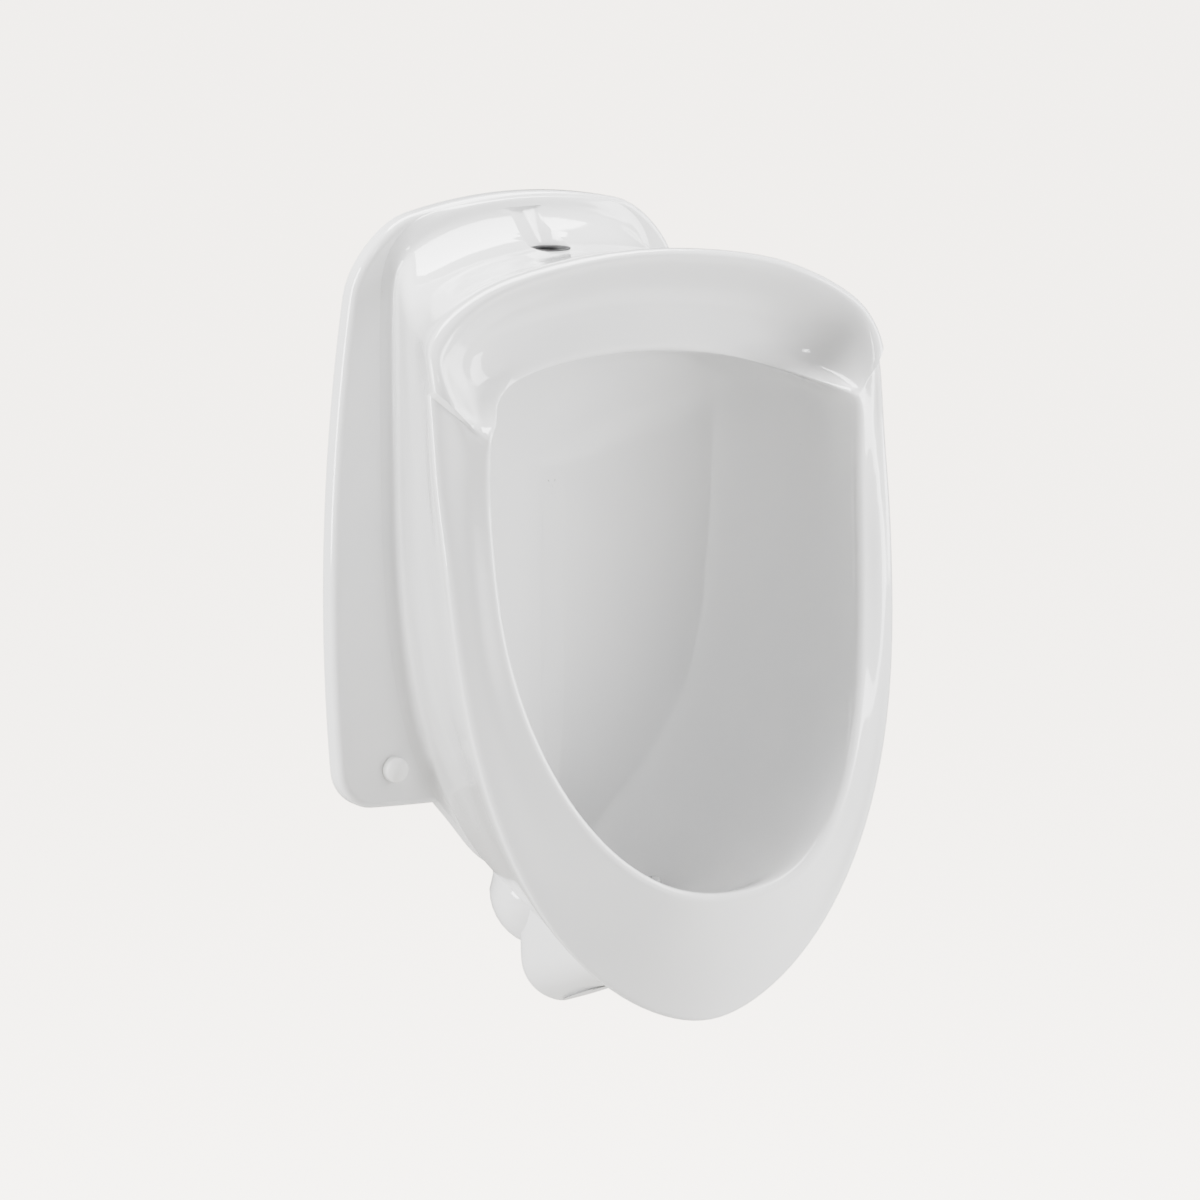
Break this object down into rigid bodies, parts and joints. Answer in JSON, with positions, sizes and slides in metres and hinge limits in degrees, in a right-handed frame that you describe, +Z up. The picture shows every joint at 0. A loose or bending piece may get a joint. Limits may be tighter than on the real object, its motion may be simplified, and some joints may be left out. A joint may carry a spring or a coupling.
{
  "type": "wall hung urinal",
  "caption": "Wall hung urinal of white vitreous china with an integral trap, a raised rim under an arched hood, wall hangers, lower fixings with caps, seals and a strainer.",
  "frame": {"origin": "on the finished wall, on the centre line, near mid height", "axes": "+X to the right of someone facing it, +Y into the wall, +Z up"},
  "size_m": [0.4314, 0.4018, 0.679],
  "materials": {
    "china": "high gloss vitreous glaze",
    "seal_rubber": "matt moulded rubber",
    "strainer_steel": "brushed",
    "zinc_steel": "bright zinc plate",
    "hanger_steel": "galvanised",
    "nylon": "natural moulded nylon",
    "cap_plastic": "gloss moulded plastic"
  },
  "bodies": {
    "urinal": {"china_body": "china", "inlet_seal": "seal_rubber", "outlet_seal": "seal_rubber", "hanger_left": "hanger_steel", "hanger_right": "hanger_steel", "hanger_screws": "zinc_steel", "hanger_washers": "zinc_steel", "fixing_sleeves": "nylon", "cap_bases": "nylon", "fixing_washers": "zinc_steel", "fixing_screws": "zinc_steel"},
    "strainer": {"strainer": "strainer_steel"},
    "bolt_cap_left": {"bolt_cap_left": "cap_plastic"},
    "bolt_cap_right": {"bolt_cap_right": "cap_plastic"}
  },
  "joints": [
    {"name": "strainer_lift", "type": "slide", "parent": "urinal", "child": "strainer", "axis": [0, 0, 1], "range_m": [0, 0.06]},
    {"name": "bolt_cap_left_pull", "type": "slide", "parent": "urinal", "child": "bolt_cap_left", "axis": [0, -1, 0], "range_m": [0, 0.025]},
    {"name": "bolt_cap_right_pull", "type": "slide", "parent": "urinal", "child": "bolt_cap_right", "axis": [0, -1, 0], "range_m": [0, 0.025]}
  ]
}
